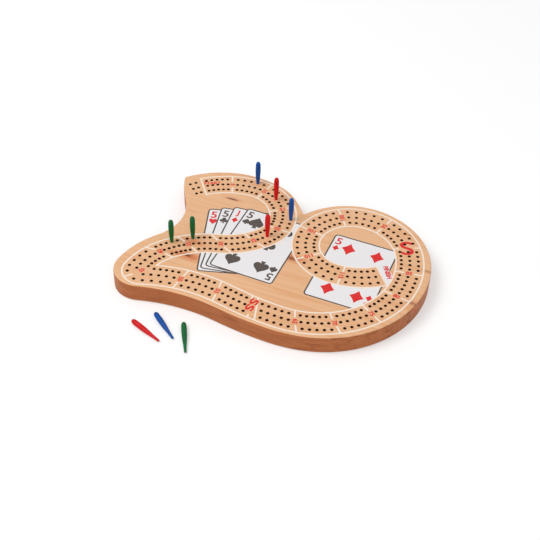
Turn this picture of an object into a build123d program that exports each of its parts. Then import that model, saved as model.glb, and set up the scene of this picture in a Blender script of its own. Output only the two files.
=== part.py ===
from build123d import *
import math
import os

# A three-track cribbage board cut from one plank in the shape of the number 29.
# Millimetres. +X runs the way the number is read, +Y up its figures and +Z out of the playing face.
# The origin is on the underside, within a millimetre of the middle of the outline's box.

# ---- plank ----
BOARD_THICKNESS = 19.0
TOP_EDGE_ROUND = 1.5
UNDER_EDGE_BEVEL = 0.8
TIP_ROUND = 3.0
NOTCH_ROUND = 1.5

# The outline is walked clockwise, as tangent arcs of (radius, sweep in degrees, positive to the left).
OUTLINE_START = (-133.5, 65.0)
OUTLINE_HEADING = 48.5
HEAD_OF_TWO = ((89.0, -68.0), (51.0, -26.5), (215.0, -6.0))
NOTCH_TURN = 110.5
HEAD_OF_NINE = ((75.0, -35.5), (69.0, -34.5), (79.0, -62.5))
BACK_OF_NINE = ((104.0, -92.5), (136.0, -15.0))
BASE = ((370.0, -8.0), (170.0, 26.0), (25.0, -113.0))
NECK_OF_TWO = ((86.0, -32.5), (47.0, 71.5), (325.0, -4.0))

# ---- tracks ----
# The middle row starts at the tip of the 2 and ends inside the 9, as tangent arcs like the outline.
TRACK_START = (-115.5, 53.0)
TRACK_HEADING = 47.0
TRACK = (
    (78.0, -43.5), (43.0, -104.0), (28.0, -21.0), (69.0, -42.0), (85.0, 33.5),
    (58.0, 36.0), (6.0, 115.0), (143.0, -33.0), (285.0, 10.5), (91.0, 45.5),
    (86.0, 71.0), (56.0, 66.5), (46.0, 71.0), (40.0, 106.5), (65.0, 45.0),
)
ROW_PITCH = 7.9
ROW_SIDES = (1, 0, -1)

# Each group of five holes lies between two dividers. RUNS are the lengths of the middle row from
# one divider to the next, and SLANTS how far a divider trails from row to row.
FIRST_DIVIDER = 8.0
RUNS = (
    29.5, 34.0, 33.0, 30.0, 29.5, 31.5, 30.5, 28.0, 37.0, 41.5, 37.0, 38.0,
    40.5, 35.0, 35.5, 33.0, 33.5, 34.5, 37.0, 43.0, 37.5, 37.0, 40.5, 37.5,
)
SLANTS = (
    -0.5, 0.5, 0.0, 1.0, 0.5, 3.5, 6.0, 4.5, 4.5, -0.5, -2.0, 2.0, 3.0,
    2.0, 1.5, 0.5, 0.5, 0.0, -1.0, 0.0, 0.5, 0.0, 0.0, -0.5, 0.0,
)
HOLES_IN_GROUP = 5
# Length left free at each end of a group, as a share of its run.
END_SHARE = 0.151
# The halfway divider is a wide band, so the holes on both sides of it stand further off.
HALFWAY_DIVIDER = 12
HALFWAY_MARGIN = 8.3
# At the sharp turn in the foot of the 2 the inner row stops well short of the divider, and the
# outer row, with its longer way round, runs almost up to it.
TURN_DIVIDER = 9
TURN_MARGINS = {1: 14.8, 0: 6.5, -1: 2.8}
START_STATIONS = (-2.5, 3.0)

# A hole has six flats, which this diameter is measured across: 366 round ones would be heavy.
HOLE_DIAMETER = 3.2
HOLE_FLATS = 6
HOLE_DEPTH = 8.0

# ---- peg store in the underside ----
STORE_LENGTH = 56.0
STORE_WIDTH = 22.0
STORE_DEPTH = 12.0
STORE_CENTRE = (-70.5, 24.5)
CUTTER_RADIUS = 5.0

COVER_THICKNESS = 1.2
COVER_GRIP = 2.2
COVER_OVERLAP = 3.0
COVER_REACH = 9.0
COVER_CLEARANCE = 0.15
LIP_THICKNESS = 1.6
CORNER_RADIUS = 2.0
DIMPLE_LENGTH = 14.0
DIMPLE_DEPTH = 0.6
DIMPLE_RADIUS = 9.0
DIMPLE_INSET = 7.0

# ---- pegs ----
PEG_FLATS = 12
PEG_TIP_DIAMETER = 2.2
PEG_FIT = 0.08
# Heights and diameters above the hole: the peg swells, is widest below its head and ends in a dome.
PEG_BODY = ((16.0, 4.5), (25.0, 5.2), (31.0, 4.9), (33.8, 3.7), (35.0, 1.8))

# Standing pegs: name, group of five, row side and place in the group.
STANDING_PEGS = (
    ("blue_peg_front", 4, 1, 2),
    ("blue_peg_back", 2, 1, 3),
    ("red_peg_front", 5, 0, 2),
    ("red_peg_back", 3, 0, 2),
    ("green_peg_front", 8, -1, 1),
    ("green_peg_back", 7, -1, 3),
)
# Loose pegs on the table in front: name, tip and the way from the tip to the head in degrees.
LOOSE_PEGS = (
    ("blue_peg_spare", (-54.0, -124.9), 143.5),
    ("red_peg_spare", (-63.9, -132.6), 159.9),
    ("green_peg_spare", (-36.8, -135.3), 118.2),
)


def arc_chain(start, heading, arcs):
    """Edges of tangent arcs from start, with the place and heading where they end."""
    edges = []
    place = Vector(*start)
    for radius, sweep in arcs:
        way = Vector(math.cos(math.radians(heading)), math.sin(math.radians(heading)))
        arc = JernArc(place, way, radius, sweep)
        edges.append(arc)
        place = arc @ 1
        heading += sweep
    return edges, place, heading


def outline():
    """Face of the 29, with its pointed tip and the notch between the figures eased."""
    two, notch, heading = arc_chain(OUTLINE_START, OUTLINE_HEADING, HEAD_OF_TWO)
    rest = HEAD_OF_NINE + BACK_OF_NINE + BASE + NECK_OF_TWO
    nine, end, _ = arc_chain((notch.X, notch.Y), heading + NOTCH_TURN, rest)
    close = Line(end, Vector(*OUTLINE_START))
    face = make_face(two + nine + [close])
    tip = face.vertices().sort_by_distance(Vector(*OUTLINE_START))[0]
    face = fillet(tip, TIP_ROUND)
    corner = face.vertices().sort_by_distance(notch)[0]
    return fillet(corner, NOTCH_ROUND)


def track_point(station, side):
    """Place on a row: a length along the middle row, and the rows to its left."""
    x, y = TRACK_START
    heading = math.radians(TRACK_HEADING)
    left = station
    for index, (radius, sweep) in enumerate(TRACK):
        bend = math.copysign(1.0 / radius, sweep)
        length = radius * math.radians(abs(sweep))
        here = left if index == len(TRACK) - 1 else min(left, length)
        turned = heading + bend * here
        x += (math.sin(turned) - math.sin(heading)) / bend
        y -= (math.cos(turned) - math.cos(heading)) / bend
        heading = turned
        left -= here
        if left <= 0:
            break
    offset = side * ROW_PITCH
    return x - offset * math.sin(heading), y + offset * math.cos(heading)


def row_step(station, side, step):
    """Length that a row itself covers while the middle row covers one step."""
    x0, y0 = track_point(station, side)
    x1, y1 = track_point(station + step, side)
    return math.hypot(x1 - x0, y1 - y0)


def spread(first, last, side, count):
    """Stations of evenly spaced holes on one row, from first to last."""
    parts = 60
    step = (last - first) / parts
    lengths = [0.0]
    for index in range(parts):
        lengths.append(lengths[-1] + row_step(first + index * step, side, step))
    stations = []
    for hole in range(count):
        wanted = lengths[-1] * hole / (count - 1)
        index = min(sum(length <= wanted for length in lengths) - 1, parts - 1)
        share = (wanted - lengths[index]) / (lengths[index + 1] - lengths[index])
        stations.append(first + (index + share) * step)
    return stations


def margin_at(divider, side, run):
    """Free length between a divider and the nearest hole of a row."""
    if divider == TURN_DIVIDER:
        return TURN_MARGINS[side]
    if divider == HALFWAY_DIVIDER:
        return HALFWAY_MARGIN
    return END_SHARE * run


def hole_places():
    """Every hole's place by (group, side, number), where group 0 is the starting holes."""
    places = {}
    for side in ROW_SIDES:
        for number, station in enumerate(START_STATIONS):
            places[0, side, number] = track_point(station, side)
        divider = FIRST_DIVIDER
        for group, run in enumerate(RUNS, start=1):
            first = divider - side * SLANTS[group - 1] + margin_at(group - 1, side, run)
            last = divider + run - side * SLANTS[group] - margin_at(group, side, run)
            for number, station in enumerate(spread(first, last, side, HOLES_IN_GROUP)):
                places[group, side, number] = track_point(station, side)
            divider += run
    return places


def store_cut():
    """Space taken out of the underside: the store, its mouth to the edge and the cover's grooves."""
    x, y = STORE_CENTRE
    store = extrude(Pos(x, y) * RectangleRounded(STORE_LENGTH, STORE_WIDTH, CUTTER_RADIUS), STORE_DEPTH)
    inner_end = x + STORE_LENGTH / 2
    outer_end = OUTLINE_START[0]
    mouth_length = x - outer_end
    mouth = Pos(x - mouth_length / 2, y) * Rectangle(mouth_length, STORE_WIDTH)
    mouth = extrude(mouth, LIP_THICKNESS + COVER_THICKNESS)
    groove_width = STORE_WIDTH + 2 * (COVER_GRIP + COVER_CLEARANCE)
    groove_end = inner_end + COVER_OVERLAP + COVER_CLEARANCE
    groove_length = groove_end - outer_end
    groove = Pos(groove_end - groove_length / 2, y) * RectangleRounded(
        groove_length, groove_width, CORNER_RADIUS
    )
    groove_height = COVER_THICKNESS + COVER_CLEARANCE
    groove = Pos(0, 0, LIP_THICKNESS) * extrude(groove, groove_height)
    return [store, mouth, groove]


def make_board(holes):
    """The plank: its outline, eased edges, peg holes and the store in its underside."""
    plank = extrude(outline(), BOARD_THICKNESS)
    plank = fillet(plank.faces().sort_by(Axis.Z)[-1].edges(), TOP_EDGE_ROUND)
    plank = chamfer(plank.faces().sort_by(Axis.Z)[0].edges(), UNDER_EDGE_BEVEL)
    floor = BOARD_THICKNESS - HOLE_DEPTH
    drill = extrude(RegularPolygon(HOLE_DIAMETER / 2, HOLE_FLATS, major_radius=False), HOLE_DEPTH)
    drilled = [Pos(x, y, floor) * drill for x, y in holes.values()]
    return plank - (drilled + store_cut())


def make_cover():
    """Sheet metal cover that slides in the grooves, with a pressed dimple for the thumb."""
    x, y = STORE_CENTRE
    inner = x + STORE_LENGTH / 2 + COVER_OVERLAP
    outer = x - STORE_LENGTH / 2 - COVER_REACH + COVER_OVERLAP
    length = inner - outer
    width = STORE_WIDTH + 2 * COVER_GRIP
    plate = extrude(RectangleRounded(length, width, CORNER_RADIUS), COVER_THICKNESS)
    roller = Cylinder(DIMPLE_RADIUS, DIMPLE_LENGTH, rotation=(90, 0, 0))
    plate -= Pos(DIMPLE_INSET - length / 2, 0, DIMPLE_DEPTH - DIMPLE_RADIUS) * roller
    return Pos((inner + outer) / 2, y, LIP_THICKNESS) * plate


def peg_ring(height, width):
    """Corners of the peg's section at a height, for its width across flats."""
    reach = width / 2 / math.cos(math.pi / PEG_FLATS)
    turns = [2 * math.pi * flat / PEG_FLATS for flat in range(PEG_FLATS)]
    return [Vector(reach * math.cos(turn), reach * math.sin(turn), height) for turn in turns]


def plane_face(*corners):
    return make_face(Polyline(*corners, close=True)).face()


def make_peg():
    """Peg with a blunt tip at the origin, tapered into its hole, then swelling to a domed head."""
    seat = (HOLE_DEPTH, HOLE_DIAMETER - 2 * PEG_FIT)
    rings = [peg_ring(*section) for section in ((0, PEG_TIP_DIAMETER), seat) + PEG_BODY]
    faces = [plane_face(*rings[0]), plane_face(*rings[-1])]
    for low, high in zip(rings, rings[1:]):
        for flat in range(PEG_FLATS):
            faces.append(plane_face(low[flat - 1], low[flat], high[flat], high[flat - 1]))
    return Solid(Shell(faces))


def standing(peg, hole):
    """The peg on the floor of a hole."""
    return Pos(hole[0], hole[1], BOARD_THICKNESS - HOLE_DEPTH) * peg


def lying(peg, tip, way):
    """The peg on the table, resting along the side of its body."""
    (low, narrow), (high, wide) = PEG_BODY[:2]
    taper = math.degrees(math.atan((wide - narrow) / 2 / (high - low)))
    laid = Rot(0, 0, way) * Rot(0, 90 - taper, 0) * peg
    return Pos(tip[0], tip[1], -laid.bounding_box().min.Z) * laid


def make_parts():
    holes = hole_places()
    peg = make_peg()
    parts = {"board": make_board(holes), "store_cover": make_cover()}
    for name, group, side, number in STANDING_PEGS:
        parts[name] = standing(peg, holes[group, side, number])
    for name, tip, way in LOOSE_PEGS:
        parts[name] = lying(peg, tip, way)
    return parts


os.makedirs("parts", exist_ok=True)
for node, solid in make_parts().items():
    export_step(solid, f"parts/{node}.step")
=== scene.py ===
"""Looks of the three-track cribbage board cut in the shape of the number 29.

The plank's drilled and printed face, the drilled holes, the moulded pegs and the brass cover of the
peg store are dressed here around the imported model. Lengths are in millimetres, apart from those of the
settings, the meshes and the stage, which are in metres.
"""

import math

import bpy
import bmesh
from bpy.props import FloatProperty, FloatVectorProperty, IntProperty, PointerProperty
from mathutils import Matrix, Vector
from mathutils.geometry import delaunay_2d_cdt, interpolate_bezier


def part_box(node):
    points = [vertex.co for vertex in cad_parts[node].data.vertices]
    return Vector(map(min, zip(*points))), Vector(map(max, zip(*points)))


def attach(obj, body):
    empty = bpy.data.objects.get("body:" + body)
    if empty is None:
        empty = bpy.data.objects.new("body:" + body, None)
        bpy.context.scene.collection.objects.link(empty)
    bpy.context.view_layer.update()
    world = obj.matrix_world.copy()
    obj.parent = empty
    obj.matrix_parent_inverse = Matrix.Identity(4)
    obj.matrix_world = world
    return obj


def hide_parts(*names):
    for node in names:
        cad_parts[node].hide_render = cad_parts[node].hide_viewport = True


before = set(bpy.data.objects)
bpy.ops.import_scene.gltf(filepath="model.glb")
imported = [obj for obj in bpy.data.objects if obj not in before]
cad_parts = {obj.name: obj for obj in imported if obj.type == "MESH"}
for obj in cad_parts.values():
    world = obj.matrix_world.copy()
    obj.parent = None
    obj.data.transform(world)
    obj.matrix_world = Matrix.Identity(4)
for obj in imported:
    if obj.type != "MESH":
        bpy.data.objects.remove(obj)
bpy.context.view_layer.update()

bl_info = {
    "name": "Cribbage board 29",
    "version": (1, 0, 0),
    "blender": (4, 5, 0),
    "location": "View3D > Sidebar > Cribbage",
    "description": "Printed, drilled and finished cribbage board with its pegs",
    "category": "Object",
}

MM = 0.001

# ---- track, as in the solid: tangent arcs of (radius, sweep in degrees, positive to the left) ----
TRACK_START = (-115.5, 53.0)
TRACK_HEADING = 47.0
TRACK = (
    (78.0, -43.5), (43.0, -104.0), (28.0, -21.0), (69.0, -42.0), (85.0, 33.5),
    (58.0, 36.0), (6.0, 115.0), (143.0, -33.0), (285.0, 10.5), (91.0, 45.5),
    (86.0, 71.0), (56.0, 66.5), (46.0, 71.0), (40.0, 106.5), (65.0, 45.0),
)
ROW_PITCH = 7.9
# Lengths of track from its start to the first divider and from each divider to the next, and how far each
# divider trails from row to row.
FIRST_DIVIDER = 8.0
RUNS = (
    29.5, 34.0, 33.0, 30.0, 29.5, 31.5, 30.5, 28.0, 37.0, 41.5, 37.0, 38.0,
    40.5, 35.0, 35.5, 33.0, 33.5, 34.5, 37.0, 43.0, 37.5, 37.0, 40.5, 37.5,
)
SLANTS = (
    -0.5, 0.5, 0.0, 1.0, 0.5, 3.5, 6.0, 4.5, 4.5, -0.5, -2.0, 2.0, 3.0,
    2.0, 1.5, 0.5, 0.5, 0.0, -1.0, 0.0, 0.5, 0.0, 0.0, -0.5, 0.0,
)
HALFWAY_DIVIDER = 12
NINETY_DIVIDER = 18
# At the sharp turn the number stands beside the row, towards the inside of the turn.
TURN_DIVIDER = 9
TURN_NUMERAL_OFFSET = 5.5

# The double line at halfway: how far each line stands from the middle, and the room for its letters.
HALFWAY_SPREAD = 3.2
HALFWAY_ROOM = 9.0
# The room for the letter at ninety, and the length of the pale band past the end of the track.
NINETY_ROOM = 7.5
FINISH_BAND = 9.5
# What two dividers have in place of a number: letters, height, width and weight as a share of a number's,
# place across and along the track, and lean in degrees.
LETTERS = {
    HALFWAY_DIVIDER: ("SS", 7.8, 1.8, 2.0, 2.5, -1.5, 0.0),
    NINETY_DIVIDER: ("S", 18.5, 1.2, 1.6, 0.0, 0.0, 10.0),
}
# Words at the ends of the track: height, middle, turn in degrees, weight.
WORDS = (("START", 4.6, (-103.8, 67.3), 24.0, 1.0), ("FINISH", 4.9, (97.7, 14.6), -57.6, 1.5))
WORD_WIDTH = 0.95

TOP = 19.0
HOLE_FLOOR = 11.0
RIM_INSET = 0.6
# Points of the solid this near, in metres, are one point.
WELD = 2e-6
# Points this near in height are level.
SAME_HEIGHT = 0.002

# ---- pegs, as in the solid ----
# Heights of the diameters in the settings: at the mouth of the hole, half way, widest, below the head.
PEG_HEIGHTS = (8.0, 16.0, 25.0, 31.0)
PEG_SEGMENTS = 28
LOOSE_PEGS = {
    "blue_peg_spare": ((-54.0, -124.9), 143.5),
    "red_peg_spare": ((-63.9, -132.6), 159.9),
    "green_peg_spare": ((-36.8, -135.3), 118.2),
}
STANDING_PEGS = (
    "blue_peg_front", "blue_peg_back", "red_peg_front", "red_peg_back", "green_peg_front", "green_peg_back",
)

# ---- printed cards: lower left corner, turn in degrees ----
CARD_WIDTH = 63.5
CARD_HEIGHT = 88.9
FAN = (
    ("heart", "5", (-64.2, -54.9), 17.3),
    ("club", "5", (-63.1, -50.3), 10.9),
    ("diamond", "J", (-60.2, -45.6), 5.6),
    ("spade", "5", (-57.4, -42.4), -1.2),
)
LONE_CARD = ("diamond", "5", (35.9, -43.2), 0.0)
# On a card, from its lower left corner: height and middle of its letter and of the small pip below it,
# then middle and turn of each large pip.
CARD_LETTER = (9.6, (6.4, 80.2))
CARD_LETTER_WIDTH = 1.05
CARD_LETTER_WEIGHT = 1.2
SMALL_PIP = (8.4, (6.5, 70.2))
DIAMOND_PIPS = ((18.5, 73.0, 0), (46.5, 73.0, 0), (31.75, 44.45, 0), (18.0, 16.0, 180), (46.0, 16.0, 180))
SPADE_PIPS = ((16.5, 72.0, 0), (47.0, 72.0, 0), (39.5, 48.5, 0), (16.5, 16.0, 180), (45.0, 17.0, 180))

# ---- knots and stains in the plank: middle, half lengths along the three axes, strength ----
KNOTS = (
    ((-75.3, 52.6, 19.0), (8.5, 2.0, 5.0), 1.0),
    ((-80.5, -38.8, 19.0), (6.5, 2.4, 8.0), 1.0),
    ((9.5, -3.5, 19.0), (8.0, 3.0, 9.0), 0.75),
    ((-104.0, 19.5, 19.0), (13.0, 0.5, 2.0), 0.35),
    ((101.0, 72.5, 19.0), (6.0, 0.45, 3.0), 1.0),
    ((132.0, 31.0, 19.0), (9.0, 2.6, 4.0), 0.4),
    ((130.0, -14.7, 19.0), (9.0, 3.0, 6.0), 0.5),
    ((129.0, -22.0, 10.0), (6.0, 5.0, 7.0), 0.65),
    ((-128.0, -62.0, 14.0), (18.0, 14.0, 3.4), 0.5),
    ((-108.0, -76.0, 15.0), (20.0, 8.0, 1.8), 0.45),
)

# ---- reddish heartwood round them, in the same way ----
HEARTWOOD = (
    ((-79.0, -39.5, 19.0), (26.0, 7.5, 12.0), 0.8),
    ((-84.0, -20.0, 19.0), (22.0, 6.0, 12.0), 0.55),
    ((10.0, -3.0, 19.0), (20.0, 8.0, 12.0), 0.75),
    ((130.0, -14.7, 14.0), (16.0, 9.0, 12.0), 0.6),
    ((-75.0, 52.6, 19.0), (16.0, 4.0, 8.0), 0.4),
)

# ---- stage, in metres: floor, disk lamps (place, diameter, watts), and the camera of the photograph ----
FLOOR_REACH = 4.0
FLOOR_DROP = 0.0002
FLOOR_GLOW = 0.34
ROOM_LIGHT = 0.62
LAMPS = (
    ("key", (-0.9, -0.5, 1.7), 1.1, 15.0),
    ("fill", (1.1, -1.5, 1.2), 1.3, 5.0),
)
CAMERA_PLACE = (0.2545, -0.6916, 0.6972)
CAMERA_RIGHT = (0.9238, 0.38208, 0.02466)
CAMERA_TOP = (-0.27996, 0.63013, 0.72427)
PHOTO_WIDTH = 540
FOCAL_LENGTH_IN_PIXELS = 1069.9
SENSOR_WIDTH = 36.0


def linear(code):
    """Linear colour of an sRGB hex code."""
    values = [int(code[index:index + 2], 16) / 255 for index in (1, 3, 5)]
    return tuple(v / 12.92 if v <= 0.04045 else ((v + 0.055) / 1.055) ** 2.4 for v in values)


# ------------------------------------------------------------------------------------------ settings


def colour(name, description, code):
    return FloatVectorProperty(
        name=name, description=description, subtype="COLOR", size=3, min=0, max=1, default=linear(code)
    )


def length(name, description, default):
    return FloatProperty(name=name, description=description, subtype="DISTANCE", default=default * MM, min=0)


class PrintSettings(bpy.types.PropertyGroup):
    """Sizes of the screen print."""

    edge_line: length("Edge line", "Width of the white lines along the track", 1.5)
    edge_offset: length("Edge offset", "From the middle row to the middle of an edge line", 12.9)
    divider_line: length("Divider line", "Width of the lines between groups of holes", 1.6)
    numeral_height: length("Numeral height", "Height of the numbers on the dividers", 4.7)
    numeral_gap: length("Numeral gap", "Half of the gap that a divider leaves for its number", 4.6)
    card_corner: length("Card corner", "Radius of a printed card's corners", 3.6)
    card_border: length("Card border", "Width of the dark line round a card", 1.4)
    pip: length("Pip", "Height of a card's large pips", 16.5)
    bold: length("Bold", "How far the letters are thickened on each side", 0.22)


class HoleSettings(bpy.types.PropertyGroup):
    """Sizes of the drilled holes."""

    diameter: length("Diameter", "Diameter of a hole", 3.2)
    sides: IntProperty(name="Sides", description="Corners round a hole", default=16, min=6, max=64)
    wall: length("Wall", "Length of a hole's straight wall", 7.2)
    point: length("Point", "Length of the drill's cone below it", 0.8)


class PegSettings(bpy.types.PropertyGroup):
    """Sizes of a peg."""

    length: length("Length", "Length of a peg", 35.0)
    tip: length("Tip", "Diameter at the tip", 2.2)
    seat: length("Seat", "Diameter at the mouth of a hole", 3.04)
    shank: length("Shank", "Diameter half way up", 4.5)
    widest: length("Widest", "Diameter where the peg is widest", 5.2)
    head: length("Head", "Diameter under the round head", 4.9)


class FinishSettings(bpy.types.PropertyGroup):
    """Colours of the finishes."""

    maple: colour("Maple", "Lacquered face of the plank", "#E9B88D")
    maple_dark: colour("Maple streaks", "Darker growth bands of the plank", "#D9955F")
    # The sides' colours are sanded edge grain, darker and redder than the face, and they also hold painted
    # shade of the sides that face away from the light.
    side: colour("Sides", "Sanded sides of the plank", "#BE6E39")
    side_streaks_and_shade: colour("Side streaks", "Darker bands in the sides", "#8A4522")
    knot: colour("Knots", "Knots and mineral stains", "#57290F")
    heart: colour("Heartwood", "Reddish wood round the knots", "#CC6630")
    # The holes' walls: wood a little burnt by the drill, darkened further with painted shade of the deep
    # narrow holes.
    drilled: colour("Drilled wood", "Walls of the holes", "#4A2413")
    white_ink: colour("White ink", "Lines of the track", "#F6E7D8")
    red_ink: colour("Red ink", "Numbers and red pips", "#DC1A20")
    dark_ink: colour("Dark ink", "Black pips and card borders", "#4B4543")
    card_ink: colour("Card ink", "Ground of the cards", "#ECEAEC")
    blue: colour("Blue", "Blue pegs", "#0650A2")
    red: colour("Red", "Red pegs", "#DA0C14")
    green: colour("Green", "Green pegs", "#046834")
    brass: colour("Brass", "Cover of the peg store", "#C9A15A")


class BoardSettings(bpy.types.PropertyGroup):
    """Everything a user would change."""

    printing: PointerProperty(type=PrintSettings)
    holes: PointerProperty(type=HoleSettings)
    pegs: PointerProperty(type=PegSettings)
    finishes: PointerProperty(type=FinishSettings)


def settings():
    return bpy.context.scene.cribbage_board


# ------------------------------------------------------------------------------------------ materials


def add(tree, kind, inputs=None, **values):
    """Adds a node, sets its values, and links or sets its inputs by name or number."""
    made = tree.nodes.new(kind)
    for name, value in values.items():
        setattr(made, name, value)
    for key, value in (inputs or {}).items():
        if isinstance(value, bpy.types.NodeSocket):
            tree.links.new(value, made.inputs[key])
        elif isinstance(value, bpy.types.Node):
            tree.links.new(value.outputs[0], made.inputs[key])
        else:
            made.inputs[key].default_value = value
    return made


def rgba(colour_value):
    return (*colour_value, 1.0)


def new_material(name, sockets):
    """A material with its Principled shader, and its even values set on the shader's own sockets."""
    made = bpy.data.materials.new(name)
    made.use_nodes = True
    tree = made.node_tree
    tree.nodes.clear()
    shader = add(tree, "ShaderNodeBsdfPrincipled", sockets)
    add(tree, "ShaderNodeOutputMaterial", {"Surface": shader})
    return made, tree, shader


def counted_in(tree, sizes, place=(0, 0, 0)):
    """Object coordinates from a place, counted in a pattern's size along each axis, in millimetres."""
    coordinates = add(tree, "ShaderNodeTexCoord")
    moved = [-value / size for value, size in zip(place, sizes)]
    scale = [1 / (size * MM) for size in sizes]
    return add(
        tree, "ShaderNodeMapping",
        {"Vector": coordinates.outputs["Object"], "Location": moved, "Scale": scale},
    )


def laid_over(tree, under, over, pattern, low, high, at_high=1.0, at_low=0.0):
    """One colour over another: its share goes from at_low to at_high as the pattern goes from low to high."""
    share = add(
        tree, "ShaderNodeMapRange",
        {"Value": pattern, "From Min": low, "From Max": high, "To Min": at_low, "To Max": at_high},
        interpolation_type="SMOOTHSTEP",
    )
    return add(tree, "ShaderNodeMix", {0: share, 6: under, 7: over}, data_type="RGBA").outputs[2]


def surfaced(tree, shader, shade, height, strength, depth, worn=None, gloss=()):
    """Gives a shader its colour, the relief of a pattern, with its depth in millimetres, and a roughness
    that wanders between two values where the pattern worn is given."""
    tree.links.new(shade, shader.inputs["Base Color"])
    relief = add(tree, "ShaderNodeBump", {"Height": height, "Strength": strength, "Distance": depth * MM})
    tree.links.new(relief.outputs[0], shader.inputs["Normal"])
    if worn:
        rough = add(
            tree, "ShaderNodeMapRange",
            {"Value": worn, "From Min": 0.3, "From Max": 0.7, "To Min": gloss[0], "To Max": gloss[1]},
            interpolation_type="SMOOTHSTEP",
        )
        tree.links.new(rough.outputs["Result"], shader.inputs["Roughness"])


def wood_fibres(tree):
    """Closed pores and fibres: 0.5 mm wide and 12 mm long, along the plank."""
    return add(
        tree, "ShaderNodeTexNoise",
        {"Vector": counted_in(tree, (11.76, 0.526, 0.526)), "Scale": 1.0, "Detail": 2.0},
    )


def maple(name, pale, dark, colours, roughness, contrast):
    """Flat-sawn maple under satin lacquer: soft bands about 7 mm wide that wander along the plank,
    fine fibres, and heartwood, knots and mineral streaks where this plank has them."""
    made, tree, shader = new_material(name, {"Specular IOR Level": 0.35})
    wander = add(
        tree, "ShaderNodeTexNoise",
        {"Vector": counted_in(tree, (111, 38.5, 38.5)), "Scale": 1.0, "Detail": 2.0},
    )
    bands = add(
        tree, "ShaderNodeTexNoise",
        {"Vector": counted_in(tree, (200, 6.67, 5.26)), "Scale": 1.0, "Detail": 3.0, "Distortion": 1.2},
    )
    streaks = add(
        tree, "ShaderNodeTexNoise",
        {"Vector": counted_in(tree, (71.4, 1.613, 1.613)), "Scale": 1.0, "Detail": 2.0},
    )
    ragged = add(
        tree, "ShaderNodeTexNoise",
        {"Vector": counted_in(tree, (9.09, 2.38, 2.38)), "Scale": 1.0, "Detail": 3.0},
    )
    fibres = wood_fibres(tree)
    banding = add(
        tree, "ShaderNodeMapRange",
        {"Value": wander, "From Min": 0.3, "From Max": 0.7, "To Min": 0.25 * contrast, "To Max": contrast},
        interpolation_type="SMOOTHSTEP",
    )
    shade = laid_over(tree, rgba(pale), rgba(dark), bands, 0.42, 0.72, banding)
    shade = laid_over(tree, shade, rgba(dark), streaks, 0.5, 0.8, 0.5 * contrast)
    shade = laid_over(tree, shade, rgba(dark), fibres, 0.35, 0.8, 0.16)
    for stains, stain in ((HEARTWOOD, colours.heart), (KNOTS, colours.knot)):
        for place, half, strength in stains:
            away = add(tree, "ShaderNodeVectorMath", {0: counted_in(tree, half, place)}, operation="LENGTH")
            away = add(tree, "ShaderNodeMath", {0: away.outputs["Value"], 1: ragged}, operation="ADD")
            shade = laid_over(tree, shade, rgba(stain), away, 0.55, 1.55, 0.0, strength)
    surfaced(tree, shader, shade, fibres, 0.12, 0.12, bands, (roughness - 0.05, roughness + 0.08))
    return made


def drilled_maple_painted_shade(colours):
    """Bare wood burnt a little by the drill and darkened further with painted shade of the deep narrow holes:
    dark, matt, with rings left by the cutting lip.
    """
    made, tree, shader = new_material("drilled_maple_painted_shade", {"Roughness": 0.85})
    rings = add(
        tree, "ShaderNodeTexNoise",
        {"Vector": counted_in(tree, (2.0, 2.0, 0.286)), "Scale": 1.0, "Detail": 2.0},
    )
    # The rings lean towards the knots' colour, which adds to the painted shade in the holes.
    shade = laid_over(tree, rgba(colours.drilled), rgba(colours.knot), rings, 0.3, 0.7, 0.5)
    surfaced(tree, shader, shade, rings, 0.3, 0.1)
    return made


def screen_ink(name, ink, wood_below, worn):
    """Screen-printed ink: an even opaque film with the fibres showing faintly through it, and pinholes
    where it missed the wood's pores."""
    made, tree, shader = new_material(name, {"Specular IOR Level": 0.25})
    fibres = wood_fibres(tree)
    cloud = add(
        tree, "ShaderNodeTexNoise",
        {"Vector": counted_in(tree, (2.38, 1.11, 1.11)), "Scale": 1.0, "Detail": 3.0},
    )
    shade = laid_over(tree, rgba(ink), rgba(wood_below), cloud, 0.35, 0.75, 0.08)
    shade = laid_over(tree, shade, rgba(wood_below), fibres, 0.66, 0.82, worn)
    surfaced(tree, shader, shade, fibres, 0.08, 0.1, cloud, (0.36, 0.5))
    return made


def moulded_plastic(name, body):
    """Injection-moulded polystyrene: satin, evenly dyed, with the faint flow marks of the mould."""
    made, tree, shader = new_material(name, {"IOR": 1.59, "Specular IOR Level": 0.15})
    flow = add(
        tree, "ShaderNodeTexNoise",
        {"Vector": counted_in(tree, (3.85, 3.85, 8.33)), "Scale": 1.0, "Detail": 3.0},
    )
    darker = tuple(value * 0.82 for value in body)
    shade = laid_over(tree, rgba(body), rgba(darker), flow, 0.3, 0.7)
    surfaced(tree, shader, shade, flow, 0.05, 0.2, flow, (0.26, 0.36))
    return made


def brushed_brass(colours):
    """Rolled brass sheet, brushed lengthwise: fine scratches 0.15 mm apart and a little tarnish."""
    made, tree, shader = new_material("brushed_brass", {"Metallic": 1.0})
    scratches = add(
        tree, "ShaderNodeTexNoise",
        {"Vector": counted_in(tree, (16.67, 0.154, 1.11)), "Scale": 1.0, "Detail": 2.0},
    )
    tarnish = add(
        tree, "ShaderNodeTexNoise",
        {"Vector": counted_in(tree, (14.3, 11.1, 11.1)), "Scale": 1.0, "Detail": 4.0},
    )
    dull = tuple(value * 0.72 for value in colours.brass)
    shade = laid_over(tree, rgba(colours.brass), rgba(dull), tarnish, 0.45, 0.75)
    surfaced(tree, shader, shade, scratches, 0.2, 0.05, scratches, (0.24, 0.42))
    return made


# ------------------------------------------------------------------------------------------ track


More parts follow.
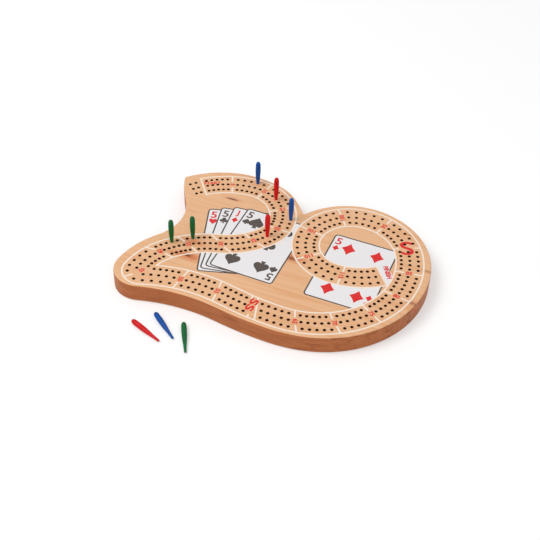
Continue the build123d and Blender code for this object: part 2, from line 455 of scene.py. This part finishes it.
def track_point(station, offset):
    """Place and heading at a length along the middle row, at an offset to its left."""
    x, y = TRACK_START
    heading = math.radians(TRACK_HEADING)
    left = station
    for index, (radius, sweep) in enumerate(TRACK):
        bend = math.copysign(1.0 / radius, sweep)
        arc = radius * math.radians(abs(sweep))
        here = left if index == len(TRACK) - 1 else min(left, arc)
        turned = heading + bend * here
        x += (math.sin(turned) - math.sin(heading)) / bend
        y -= (math.cos(turned) - math.cos(heading)) / bend
        heading = turned
        left -= here
        if left <= 0:
            break
    return Vector((x - offset * math.sin(heading), y + offset * math.cos(heading))), heading


def divider_station(index):
    return FIRST_DIVIDER + sum(RUNS[:index])


def divider_point(index, offset, shift=0.0):
    """Place on a divider, which trails from row to row by its slant."""
    trail = offset / ROW_PITCH * SLANTS[index]
    return track_point(divider_station(index) - trail + shift, offset)[0]


def crossing(a, b, c, d):
    """Where two segments cross, or None."""
    u, v, w = b - a, d - c, c - a
    turn = u.x * v.y - u.y * v.x
    if abs(turn) < 1e-9:
        return None
    s = (w.x * v.y - w.y * v.x) / turn
    t = (w.x * u.y - w.y * u.x) / turn
    return a + u * s if 0 < s < 1 and 0 < t < 1 else None


def untangled(points, reach=60):
    """The line with the loop that an inner offset makes at a sharp turn cut off, up to reach points long."""
    index = 0
    while index < len(points) - 2:
        for other in range(min(index + reach, len(points) - 2 - (index == 0)), index + 1, -1):
            met = crossing(points[index], points[index + 1], points[other], points[other + 1])
            if met:
                points = points[:index + 1] + [met] + points[other + 1:]
                break
        index += 1
    return points


def thinned(points, turn):
    """The line with a point for each turn, in degrees, that it makes."""
    kept = points[:1]
    heading = points[1] - points[0]
    for before, point in zip(points[1:-1], points[2:]):
        if abs((point - before).angle_signed(heading)) > math.radians(turn):
            kept.append(before)
            heading = point - before
    return kept + points[-1:]


def edge_points(offset):
    """An edge of the track, from the start line to the last divider."""
    first = FIRST_DIVIDER - offset / ROW_PITCH * SLANTS[0]
    last = divider_station(len(RUNS)) - offset / ROW_PITCH * SLANTS[-1]
    count = int((last - first) / 0.4)
    steps = [first + (last - first) * index / count for index in range(count + 1)]
    return thinned(untangled([track_point(step, offset)[0] for step in steps], 200), 3.0)


def widened(points, width, closed=False):
    """Two lines beside a line, half a width away on each side, mitred at its corners."""
    sides = ([], [])
    count = len(points)
    for index, point in enumerate(points):
        before = points[index - 1] if index or closed else points[0]
        after = points[(index + 1) % count] if index < count - 1 or closed else points[-1]
        incoming, outgoing = point - before, after - point
        first = (incoming if incoming.length > 1e-9 else outgoing).normalized()
        second = outgoing.normalized() if outgoing.length > 1e-9 else first
        middle = (first + second).normalized()
        reach = width / 2 / max(middle.dot(first), 0.5)
        sides[0].append(point + Vector((-middle.y, middle.x)) * reach)
        sides[1].append(point - Vector((-middle.y, middle.x)) * reach)
    return sides


def stroke(points, width):
    """Outline of a line of ink."""
    left, right = widened(points, width)
    return left + right[::-1]


# ------------------------------------------------------------------------------------------ shapes of ink


def placed(loop, place, turn, scale=1.0):
    """A loop scaled, turned by degrees and moved to its place."""
    angle = math.radians(turn)
    c, s = math.cos(angle) * scale, math.sin(angle) * scale
    return [Vector((place[0] + c * x - s * y, place[1] + s * x + c * y)) for x, y in loop]


def area(points):
    """Twice the area inside a loop, negative where it runs clockwise."""
    return sum(a.x * b.y - a.y * b.x for a, b in zip(points, points[1:] + points[:1]))


def knotted(points):
    """Whether a loop crosses itself."""
    count = len(points)
    ring = points + points[:1]
    for index in range(count - 2):
        for other in range(index + 2, count - (index == 0)):
            if crossing(ring[index], ring[index + 1], ring[other], ring[other + 1]):
                return True
    return False


def bolder(loops, by):
    """The outlines of letters moved outwards, which thickens their strokes on both sides."""
    outside = 1 if area(max(loops, key=lambda points: abs(area(points)))) > 0 else 0
    thick = []
    for points in loops:
        moved = widened(points, 2 * by, closed=True)[outside]
        first = moved.index(max(moved, key=lambda point: point.x))
        moved = untangled(moved[first:] + moved[:first + 1])[:-1]
        turned_over = area(moved) * area(points) <= 0
        thick.append(points if turned_over or knotted(moved) else moved)
    return thick


def corners_only(points):
    """The loop without the points on its straight runs."""
    kept = []
    for index, point in enumerate(points):
        before, after = point - points[index - 1], points[(index + 1) % len(points)] - point
        if abs(before.x * after.y - before.y * after.x) > 0.02 * before.length * after.length:
            kept.append(point)
    return kept


def word_loops(words, height, place, turn, width=1.0, bold=0.0):
    """Outlines of a printed word or number, with its middle at place."""
    curve = bpy.data.curves.new("words", "FONT")
    curve.body = words
    piece = bpy.data.objects.new("words", curve)
    bpy.context.scene.collection.objects.link(piece)
    bpy.context.view_layer.update()
    outline = piece.to_curve(bpy.context.evaluated_depsgraph_get())
    loops = []
    for spline in outline.splines:
        points = spline.bezier_points
        loop = []
        for index, point in enumerate(points):
            after = points[(index + 1) % len(points)]
            bent = interpolate_bezier(point.co, point.handle_right, after.handle_left, after.co, 5)
            for step in bent[:-1]:
                if not loop or (loop[-1] - step.xy).length > 0.012:
                    loop.append(step.xy)
        loops.append(corners_only(loop))
    piece.to_curve_clear()
    bpy.data.objects.remove(piece)
    bpy.data.curves.remove(curve)
    xs = [x for loop in loops for x, _ in loop]
    ys = [y for loop in loops for _, y in loop]
    middle = ((min(xs) + max(xs)) / 2, (min(ys) + max(ys)) / 2)
    scale = (height - 2 * bold) / (max(ys) - min(ys))
    loops = [[((x - middle[0]) * width, y - middle[1]) for x, y in loop] for loop in loops]
    return bolder([placed(loop, place, turn, scale) for loop in loops], bold)


def arc_points(centre, radius, start, end, count):
    steps = [math.radians(start + (end - start) * index / count) for index in range(count + 1)]
    return [(centre[0] + radius * math.cos(a), centre[1] + radius * math.sin(a)) for a in steps]


def rounded_card(inset, corner):
    """Outline of a card from its lower left corner, drawn in by an inset."""
    radius = max(corner - inset, 0.2)
    low, right, top = inset + radius, CARD_WIDTH - inset - radius, CARD_HEIGHT - inset - radius
    loop = arc_points((right, low), radius, -90, 0, 6) + arc_points((right, top), radius, 0, 90, 6)
    return loop + arc_points((low, top), radius, 90, 180, 6) + arc_points((low, low), radius, 180, 270, 6)


def suit_loops(suit):
    """Outlines of a pip one unit high, middle at the origin."""
    if suit == "diamond":
        corners = [(0, 0.5), (-0.42, 0), (0, -0.5), (0.42, 0)]
        loop = []
        for index, (x, y) in enumerate(corners):
            after = corners[(index + 1) % 4]
            for step in range(5):
                t = step / 5
                pull = 1 - 0.28 * math.sin(math.pi * t) * 0.5
                loop.append(((x + (after[0] - x) * t) * pull, (y + (after[1] - y) * t) * pull))
        return [loop]
    if suit in ("heart", "spade"):
        loop = []
        for step in range(30):
            t = 2 * math.pi * step / 30
            x = 16 * math.sin(t) ** 3
            y = 13 * math.cos(t) - 5 * math.cos(2 * t) - 2 * math.cos(3 * t) - math.cos(4 * t)
            loop.append((x / 34, (y + 2.5) / 29))
        if suit == "heart":
            return [loop]
        blade = [(x * 0.98, 0.08 - y * 0.86) for x, y in loop]
        foot = [(-0.14, -0.5), (0.14, -0.5), (0.09, -0.3), (0.05, -0.1), (-0.05, -0.1), (-0.09, -0.3)]
        return [blade, foot]
    middles = ((0, 0.265), (-0.235, -0.06), (0.235, -0.06))
    leaves = [arc_points(middle, 0.235, 0, 337.5, 15) for middle in middles]
    foot = [(-0.2, -0.5), (0.2, -0.5), (0.08, -0.38), (0.04, 0.05), (-0.04, 0.05), (-0.08, -0.38)]
    return leaves + [foot]


class PrintedFace:
    """Shapes of ink on the plank's face, each laid over the ones before it."""

    def __init__(self):
        self.points = []
        self.loops = []
        self.owners = []
        self.finishes = []

    def lay(self, finish, loops):
        """One shape: an odd number of its loops round a point means ink there."""
        for loop in loops:
            points = [Vector(p) for p in loop]
            if area(points) < 0:
                points.reverse()
            start = len(self.points)
            self.points += points
            self.loops.append(list(range(start, len(self.points))))
            self.owners.append(len(self.finishes))
        self.finishes.append(finish)

    def lay_each(self, finish, loops):
        for loop in loops:
            self.lay(finish, [loop])

    def triangles(self):
        """Corner points, and triangles with the finish that lies on top of each."""
        points, _, faces, _, _, under = delaunay_2d_cdt(self.points, [], self.loops, 1, 1e-5, True)
        laid = []
        for face, loops in zip(faces, under):
            counts = {}
            for loop in loops:
                owner = self.owners[loop]
                counts[owner] = counts.get(owner, 0) + 1
            over = [owner for owner, count in counts.items() if count % 2]
            if over:
                laid.append((face, self.finishes[max(over)]))
        return points, laid


def lay_card(face, suit, letter, corner, turn, sizes, pips=(), with_foot_index=True):
    """A playing card: its border, ground, corner index and pips."""
    angle = math.radians(turn)

    def on_card(x, y, half_turn=0):
        """A place on the card, from its lower left corner, or by half a turn from its upper right one."""
        if half_turn:
            x, y = CARD_WIDTH - x, CARD_HEIGHT - y
        return (
            corner[0] + x * math.cos(angle) - y * math.sin(angle),
            corner[1] + x * math.sin(angle) + y * math.cos(angle),
        )

    radius, border = sizes.card_corner / MM, sizes.card_border / MM
    bold = CARD_LETTER_WEIGHT * sizes.bold / MM
    ink = "red_ink" if suit in ("heart", "diamond") else "dark_ink"
    pip_shape = suit_loops(suit)
    face.lay("dark_ink", [placed(rounded_card(0, radius), corner, turn)])
    face.lay("card_ink", [placed(rounded_card(border, radius), corner, turn)])
    for half_turn in (0, 180) if with_foot_index else (0,):
        facing = turn + half_turn
        height, middle = CARD_LETTER
        at = on_card(*middle, half_turn)
        face.lay(ink, word_loops(letter, height, at, facing, CARD_LETTER_WIDTH, bold))
        height, middle = SMALL_PIP
        at = on_card(*middle, half_turn)
        face.lay_each(ink, [placed(loop, at, facing, height) for loop in pip_shape])
    for x, y, pip_turn in pips:
        at = on_card(x, y)
        face.lay_each(ink, [placed(loop, at, turn + pip_turn, sizes.pip / MM) for loop in pip_shape])


def lay_track(face, sizes):
    """Bare wood of the track over the cards, its edge lines, dividers, numbers and words."""
    offset, width = sizes.edge_offset / MM, sizes.edge_line / MM
    bar, gap, bold = sizes.divider_line / MM, sizes.numeral_gap / MM, sizes.bold / MM
    left, right = edge_points(offset), edge_points(-offset)
    last = len(RUNS)
    ends = [divider_point(last, side * (offset + width / 2)) for side in (1, -1)]
    ahead = Vector((ends[0] - ends[1]).yx) * Vector((1, -1))
    ahead.normalize()
    ahead *= FINISH_BAND
    face.lay("card_ink", [[ends[0], ends[1], ends[1] + ahead, ends[0] + ahead]])
    rim = left + right[::-1]
    face.lay("maple", [rim])
    outer, inner = widened(rim, width, closed=True)
    face.lay("white_ink", [outer, inner])
    for index in range(1, last):
        if index == HALFWAY_DIVIDER:
            continue
        inside = NINETY_ROOM if index == NINETY_DIVIDER else gap
        for side in (-1,) if index == TURN_DIVIDER else (1, -1):
            ends = [divider_point(index, side * reach) for reach in (inside, offset)]
            face.lay("white_ink", [stroke(ends, bar)])
    whole = [divider_point(HALFWAY_DIVIDER, side * offset, HALFWAY_SPREAD) for side in (1, -1)]
    face.lay("white_ink", [stroke(whole, bar)])
    for side in (1, -1):
        reaches = (side * HALFWAY_ROOM, side * offset)
        part = [divider_point(HALFWAY_DIVIDER, reach, -HALFWAY_SPREAD) for reach in reaches]
        face.lay("white_ink", [stroke(part, bar)])
    for index in range(1, last):
        across = TURN_NUMERAL_OFFSET if index == TURN_DIVIDER else 0.0
        number = (str(5 * index), sizes.numeral_height / MM, 1.0, 1.0, across, 0.0, 0.0)
        words, height, stretch, weight, across, along, lean = LETTERS.get(index, number)
        place = divider_point(index, across, along)
        turn = math.degrees(track_point(divider_station(index), 0)[1]) - 90 - lean
        face.lay("red_ink", word_loops(words, height, place, turn, stretch, weight * bold))
    for words, height, place, turn, weight in WORDS:
        face.lay("red_ink", word_loops(words, height, place, turn, WORD_WIDTH, weight * bold))


# ------------------------------------------------------------------------------------------ meshes


def finished(name, mesh, body, slot, *nodes):
    """A piece at the origin that rides on a body and stands for nodes, which it hides; the slot is not used.
    """
    piece = bpy.data.objects.new(name, mesh)
    bpy.context.scene.collection.objects.link(piece)
    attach(piece, body)
    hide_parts(*nodes)
    return piece


def outline_loop(shell):
    """Corners of the opening left round the plank's face, in order."""
    open_edges = dict.fromkeys(edge for edge in shell.edges if len(edge.link_faces) == 1)
    edge = next(iter(open_edges))
    vert = edge.verts[0]
    loop = []
    while edge:
        del open_edges[edge]
        loop.append(vert)
        vert = edge.other_vert(vert)
        edge = next((e for e in vert.link_edges if e in open_edges), None)
    return loop


def drill_tree():
    """Geometry nodes that drill every opening in a face: a straight wall and the drill point's cone."""
    tree = bpy.data.node_groups.new("Drill the peg holes", "GeometryNodeTree")
    face = tree.interface
    face.new_socket("Geometry", in_out="INPUT", socket_type="NodeSocketGeometry")
    wall = face.new_socket("Wall", in_out="INPUT", socket_type="NodeSocketFloat")
    point = face.new_socket("Drill point", in_out="INPUT", socket_type="NodeSocketFloat")
    finish = face.new_socket("Finish", in_out="INPUT", socket_type="NodeSocketMaterial")
    face.new_socket("Geometry", in_out="OUTPUT", socket_type="NodeSocketGeometry")
    given = add(tree, "NodeGroupInput")
    beside = add(tree, "GeometryNodeInputMeshEdgeNeighbors")
    rim = add(tree, "FunctionNodeCompare", data_type="INT", operation="EQUAL")
    tree.links.new(beside.outputs[0], rim.inputs[2])
    rim.inputs[3].default_value = 1
    down = add(tree, "ShaderNodeCombineXYZ", {"Z": -1.0})
    walls = add(
        tree, "GeometryNodeExtrudeMesh",
        {"Mesh": given.outputs["Geometry"], "Selection": rim.outputs[0], "Offset": down,
         "Offset Scale": given.outputs["Wall"]}, mode="EDGES",
    )
    cones = add(
        tree, "GeometryNodeExtrudeMesh",
        {"Mesh": walls.outputs["Mesh"], "Selection": walls.outputs["Top"], "Offset": down,
         "Offset Scale": given.outputs["Drill point"]}, mode="EDGES",
    )
    gather = add(
        tree, "GeometryNodeScaleElements",
        {"Geometry": cones.outputs["Mesh"], "Selection": cones.outputs["Top"], "Scale": 0.0}, domain="EDGE",
    )
    merged = add(tree, "GeometryNodeMergeByDistance", {"Geometry": gather, "Distance": 1e-6})
    cut = add(
        tree, "FunctionNodeBooleanMath",
        {0: walls.outputs["Side"], 1: cones.outputs["Side"]}, operation="OR",
    )
    real = add(tree, "GeometryNodeRealizeInstances", {"Geometry": merged})
    coat = add(
        tree, "GeometryNodeSetMaterial",
        {"Geometry": real, "Selection": cut.outputs[0], "Material": given.outputs["Finish"]},
    )
    add(tree, "NodeGroupOutput", {"Geometry": coat})
    return tree, {"wall": wall.identifier, "point": point.identifier, "finish": finish.identifier}


def plank_finishes(colours):
    """The plank's materials, in the order of its material slots."""
    return {
        "maple": maple("lacquered_maple", colours.maple, colours.maple_dark, colours, 0.42, 0.55),
        # The sides' finish holds painted shade as well as the darker sanded grain.
        "side": maple("sanded_maple_side_painted_shade", colours.side, colours.side_streaks_and_shade, colours, 0.5, 0.8),
        "white_ink": screen_ink("white_screen_ink", colours.white_ink, colours.maple, 0.3),
        "red_ink": screen_ink("red_screen_ink", colours.red_ink, colours.maple, 0.2),
        "dark_ink": screen_ink("dark_screen_ink", colours.dark_ink, colours.maple, 0.12),
        "card_ink": screen_ink("card_screen_ink", colours.card_ink, colours.maple, 0.06),
    }


def printed_face(rim, centres, sizes, holes):
    """Everything in the plank's face: bare wood, ink, and the mouths of the holes."""
    face = PrintedFace()
    face.lay("maple", [rim])
    face.lay("maple", [inset_loop(rim, RIM_INSET)])
    for suit, letter, corner, turn in FAN:
        on_top = suit == "spade"
        lay_card(face, suit, letter, corner, turn, sizes, SPADE_PIPS if on_top else (), on_top)
    lay_card(face, *LONE_CARD, sizes, DIAMOND_PIPS)
    lay_track(face, sizes)
    ring = arc_points((0, 0), holes.diameter / 2 / MM, 0, 360 - 360 / holes.sides, holes.sides - 1)
    face.lay_each("hole", [[(x + c.x, y + c.y) for x, y in ring] for c in centres])
    return face


def drilled(mesh, holes, finish):
    """The mesh with a wall and a cone below each opening in its face."""
    blank = bpy.data.objects.new("blank", mesh)
    bpy.context.scene.collection.objects.link(blank)
    tree, keys = drill_tree()
    drilling = blank.modifiers.new("Drill", "NODES")
    drilling.node_group = tree
    drilling[keys["wall"]] = holes.wall
    drilling[keys["point"]] = holes.point
    drilling[keys["finish"]] = finish
    bpy.context.view_layer.update()
    evaluated = blank.evaluated_get(bpy.context.evaluated_depsgraph_get())
    made = bpy.data.meshes.new_from_object(evaluated)
    blank.modifiers.clear()
    bpy.data.objects.remove(blank)
    return made


def make_plank():
    """The plank: the solid's sides and underside, a printed face and drilled holes."""
    made = settings()
    finishes = plank_finishes(made.finishes)
    order = list(finishes)
    shell = bmesh.new()
    shell.from_mesh(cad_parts["board"].data)
    bmesh.ops.remove_doubles(shell, verts=shell.verts, dist=WELD)

    def at(vert, height):
        return abs(vert.co.z / MM - height) < SAME_HEIGHT

    floors = [f for f in shell.faces if all(at(v, HOLE_FLOOR) for v in f.verts)]
    centres = hole_centres(floors)
    going = [f for f in shell.faces if all(at(v, HOLE_FLOOR) or at(v, TOP) for v in f.verts)]
    bmesh.ops.delete(shell, geom=going, context="FACES")
    for piece in shell.faces:
        # Faces that look up take the face's finish and all others the sides' finish, whose colour holds
        # painted shade.
        piece.material_index = order.index("maple" if piece.normal.z > 0.5 else "side")
    rim = [v.co.xy / MM for v in outline_loop(shell)]
    points, laid = printed_face(rim, centres, made.printing, made.holes).triangles()
    verts = [shell.verts.new((p.x * MM, p.y * MM, TOP * MM)) for p in points]
    for corners, finish in laid:
        if finish != "hole":
            made_face = shell.faces.new([verts[index] for index in corners])
            made_face.material_index = order.index(finish)
    bmesh.ops.remove_doubles(shell, verts=shell.verts, dist=WELD)
    bmesh.ops.delete(shell, geom=[v for v in shell.verts if not v.link_faces], context="VERTS")
    mesh = bpy.data.meshes.new("plank")
    shell.to_mesh(mesh)
    shell.free()
    for name in order:
        mesh.materials.append(finishes[name])
    mesh = drilled(mesh, made.holes, drilled_maple_painted_shade(made.finishes))
    tidy_normals(mesh, 35)
    mesh.name = "plank"
    return finished("plank", mesh, "board", "wood", "board")


def hole_centres(floors):
    """Middles of the drilled floors, one for each group of joined faces."""
    left = dict.fromkeys(floors)
    centres = []
    while left:
        group, todo = [], [left.popitem()[0]]
        while todo:
            piece = todo.pop()
            group.append(piece)
            for edge in piece.edges:
                for other in edge.link_faces:
                    if other in left:
                        del left[other]
                        todo.append(other)
        verts = dict.fromkeys(v for piece in group for v in piece.verts)
        centres.append(sum((v.co.xy for v in verts), Vector((0, 0))) / len(verts) / MM)
    return centres


def inset_loop(points, reach):
    """The loop drawn inwards, so the rounded edge's shading stays at the edge."""
    sides = widened(points, 2 * reach, closed=True)
    return sides[0] if area(points) > 0 else sides[1]


def tidy_normals(mesh, sharp):
    """Outward faces, smooth apart from edges sharper than an angle in degrees."""
    work = bmesh.new()
    work.from_mesh(mesh)
    bmesh.ops.recalc_face_normals(work, faces=work.faces)
    work.to_mesh(mesh)
    work.free()
    if "custom_normal" in mesh.attributes:
        mesh.attributes.remove(mesh.attributes["custom_normal"])
    mesh.polygons.foreach_set("use_smooth", [True] * len(mesh.polygons))
    mesh.set_sharp_from_angle(angle=math.radians(sharp))


def peg_profile(sizes):
    """Radius and height up a peg: blunt tip, long swelling shank and round head."""
    tip, whole = sizes.tip / 2 / MM, sizes.length / MM
    radii = [value / 2 / MM for value in (sizes.seat, sizes.shank, sizes.widest, sizes.head)]
    profile = [(0.0, 0.0), (tip * 0.72, 0.0), (tip * 0.92, 0.15), (tip, 0.5)]
    slopes = [(radii[1] - tip) / PEG_HEIGHTS[1]]
    for before, after, low, high in zip(radii, radii[2:], PEG_HEIGHTS, PEG_HEIGHTS[2:]):
        slopes.append((after - before) / (high - low))
    slopes.append(-0.02)
    for index in range(len(radii) - 1):
        low, high = PEG_HEIGHTS[index:index + 2]
        run = high - low
        for step in range(5):
            t = step / 5
            radius = radii[index] * (1 + 2 * t) * (1 - t) ** 2 + radii[index + 1] * (3 - 2 * t) * t ** 2
            radius += run * (slopes[index] * t * (1 - t) ** 2 - slopes[index + 1] * (1 - t) * t ** 2)
            profile.append((radius, low + run * t))
    for step in range(9):
        angle = math.radians(90 * step / 8)
        dome = whole - PEG_HEIGHTS[-1]
        profile.append((radii[-1] * math.cos(angle), PEG_HEIGHTS[-1] + dome * math.sin(angle)))
    profile[-1] = (0.0, whole)
    return profile


def turned(profile, segments, matrix):
    """A closed mesh turned about its own axis, then placed."""
    work = bmesh.new()
    rings = []
    for radius, height in profile:
        around = [(0, 0)]
        if radius > 1e-6:
            around = arc_points((0, 0), radius, 0, 360 - 360 / segments, segments - 1)
        rings.append([work.verts.new((x * MM, y * MM, height * MM)) for x, y in around])
    for low, high in zip(rings, rings[1:]):
        for index in range(segments):
            after = (index + 1) % segments
            places = ((low, index), (low, after), (high, after), (high, index))
            corners = [ring[step % len(ring)] for ring, step in places]
            work.faces.new(list(dict.fromkeys(corners)))
    bmesh.ops.transform(work, matrix=matrix, verts=work.verts)
    mesh = bpy.data.meshes.new("turned")
    work.to_mesh(mesh)
    work.free()
    tidy_normals(mesh, 50)
    return mesh


def make_pegs():
    """Every peg, standing in its hole or lying on the table."""
    made = settings()
    profile = peg_profile(made.pegs)
    finishes = {
        name: moulded_plastic(name + "_moulded_plastic", getattr(made.finishes, name))
        for name in ("blue", "red", "green")
    }
    for node in STANDING_PEGS + tuple(LOOSE_PEGS):
        low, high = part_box(node)
        if node in LOOSE_PEGS:
            (x, y), way = LOOSE_PEGS[node]
            rise = (PEG_HEIGHTS[2] - PEG_HEIGHTS[1]) * MM
            taper = math.atan((made.pegs.widest - made.pegs.shank) / 2 / rise)
            tilt = Matrix.Rotation(math.radians(way), 4, "Z") @ Matrix.Rotation(math.pi / 2 - taper, 4, "Y")
            sides = [(side * r * MM, 0, z * MM) for r, z in profile for side in (1, -1)]
            lowest = min((tilt @ Vector(point)).z for point in sides)
            matrix = Matrix.Translation((x * MM, y * MM, -lowest)) @ tilt
        else:
            matrix = Matrix.Translation(((low.x + high.x) / 2, (low.y + high.y) / 2, low.z))
        mesh = turned(profile, PEG_SEGMENTS, matrix)
        tint = node.split("_")[0]
        mesh.materials.append(finishes[tint])
        finished("moulded_" + node, mesh, node, tint + "_plastic", node)


# ------------------------------------------------------------------------------------------ operators


class CRIBBAGE_OT_plank(bpy.types.Operator):
    """Makes the printed and drilled plank"""

    bl_idname = "cribbage.plank"
    bl_label = "Plank"

    def execute(self, context):
        make_plank()
        return {"FINISHED"}


class CRIBBAGE_OT_pegs(bpy.types.Operator):
    """Makes the nine moulded pegs"""

    bl_idname = "cribbage.pegs"
    bl_label = "Pegs"

    def execute(self, context):
        make_pegs()
        return {"FINISHED"}


class CRIBBAGE_OT_cover(bpy.types.Operator):
    """Finishes the sliding cover of the peg store"""

    bl_idname = "cribbage.cover"
    bl_label = "Store cover"

    def execute(self, context):
        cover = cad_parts["store_cover"]
        brass = brushed_brass(settings().finishes)
        for holder in cover.material_slots:
            holder.material = brass
        return {"FINISHED"}


class CRIBBAGE_OT_stage(bpy.types.Operator):
    """Makes the floor, the lights, the world and the camera"""

    bl_idname = "cribbage.stage"
    bl_label = "Stage"

    def execute(self, context):
        make_stage()
        return {"FINISHED"}


def seen_directly(tree):
    """1 for what the camera, a reflection or glass sees, and 0 for the light that falls on things."""
    path = add(tree, "ShaderNodeLightPath")
    glossy = add(
        tree, "ShaderNodeMath", {0: path.outputs["Is Glossy Ray"], 1: path.outputs["Is Transmission Ray"]},
        operation="MAXIMUM",
    )
    return add(tree, "ShaderNodeMath", {0: path.outputs["Is Camera Ray"], 1: glossy}, operation="MAXIMUM")


def make_stage():
    """Plain white floor, soft light from the upper left and the camera of the photograph."""
    paper = bpy.data.materials.new("matt_white_paper")
    paper.use_nodes = True
    tree = paper.node_tree
    tree.nodes.clear()
    white = rgba(linear("#FFFFFF"))
    matt = add(tree, "ShaderNodeBsdfDiffuse", {"Color": rgba(linear("#DDDDDD"))})
    lift = add(tree, "ShaderNodeMath", {0: seen_directly(tree), 1: FLOOR_GLOW}, operation="MULTIPLY")
    glow = add(tree, "ShaderNodeEmission", {"Color": white, "Strength": lift})
    both = add(tree, "ShaderNodeAddShader", {0: matt, 1: glow})
    add(tree, "ShaderNodeOutputMaterial", {"Surface": both})
    sheet = bpy.data.meshes.new("floor")
    corners = [(x * FLOOR_REACH, y * FLOOR_REACH) for x, y in ((-1, -1), (1, -1), (1, 1), (-1, 1))]
    sheet.from_pydata([(x, y, -FLOOR_DROP) for x, y in corners], [], [(0, 1, 2, 3)])
    sheet.materials.append(paper)
    floor = bpy.data.objects.new("floor", sheet)
    bpy.context.scene.collection.objects.link(floor)

    world = bpy.data.worlds.new("soft_room")
    world.use_nodes = True
    tree = world.node_tree
    tree.nodes.clear()
    seen = seen_directly(tree)
    shown = add(tree, "ShaderNodeMapRange", {"Value": seen, "To Min": ROOM_LIGHT, "To Max": 1.0})
    sky = add(tree, "ShaderNodeBackground", {"Color": white, "Strength": shown})
    add(tree, "ShaderNodeOutputWorld", {"Surface": sky})
    bpy.context.scene.world = world

    for name, place, size, energy in LAMPS:
        lamp = bpy.data.lights.new(name, "AREA")
        lamp.shape = "DISK"
        lamp.size = size
        lamp.energy = energy
        holder = bpy.data.objects.new(name, lamp)
        towards = Vector(place).to_track_quat("Z", "Y").to_matrix().to_4x4()
        holder.matrix_world = Matrix.Translation(place) @ towards
        bpy.context.scene.collection.objects.link(holder)

    camera = bpy.data.cameras.new("camera")
    camera.sensor_width = SENSOR_WIDTH
    camera.lens = SENSOR_WIDTH * FOCAL_LENGTH_IN_PIXELS / PHOTO_WIDTH
    camera.clip_start = 0.05
    right = Vector(CAMERA_RIGHT).normalized()
    back = right.cross(Vector(CAMERA_TOP)).normalized()
    up = back.cross(right)
    holder = bpy.data.objects.new("camera", camera)
    turn = Matrix((right, up, back)).transposed().to_4x4()
    holder.matrix_world = Matrix.Translation(CAMERA_PLACE) @ turn
    bpy.context.scene.collection.objects.link(holder)
    bpy.context.scene.camera = holder
    bpy.context.scene.view_settings.view_transform = "Standard"


class CRIBBAGE_PT_panel(bpy.types.Panel):
    """Buttons and sizes of the cribbage board"""

    bl_idname = "CRIBBAGE_PT_panel"
    bl_label = "Cribbage board"
    bl_space_type = "VIEW_3D"
    bl_region_type = "UI"
    bl_category = "Cribbage"

    def draw(self, context):
        for operator in OPERATORS:
            self.layout.operator(operator.bl_idname)
        made = context.scene.cribbage_board
        for group in (made.printing, made.holes, made.pegs, made.finishes):
            box = self.layout.box()
            for name in group.__annotations__:
                box.prop(group, name)


GROUPS = (PrintSettings, HoleSettings, PegSettings, FinishSettings, BoardSettings)
OPERATORS = (CRIBBAGE_OT_plank, CRIBBAGE_OT_pegs, CRIBBAGE_OT_cover, CRIBBAGE_OT_stage)


def register():
    for made in GROUPS + OPERATORS + (CRIBBAGE_PT_panel,):
        bpy.utils.register_class(made)
    bpy.types.Scene.cribbage_board = PointerProperty(type=BoardSettings)


def unregister():
    del bpy.types.Scene.cribbage_board
    for made in reversed(GROUPS + OPERATORS + (CRIBBAGE_PT_panel,)):
        bpy.utils.unregister_class(made)


def main():
    register()
    bpy.ops.cribbage.stage()
    bpy.ops.cribbage.plank()
    bpy.ops.cribbage.pegs()
    bpy.ops.cribbage.cover()


if __name__ == "__main__":
    main()
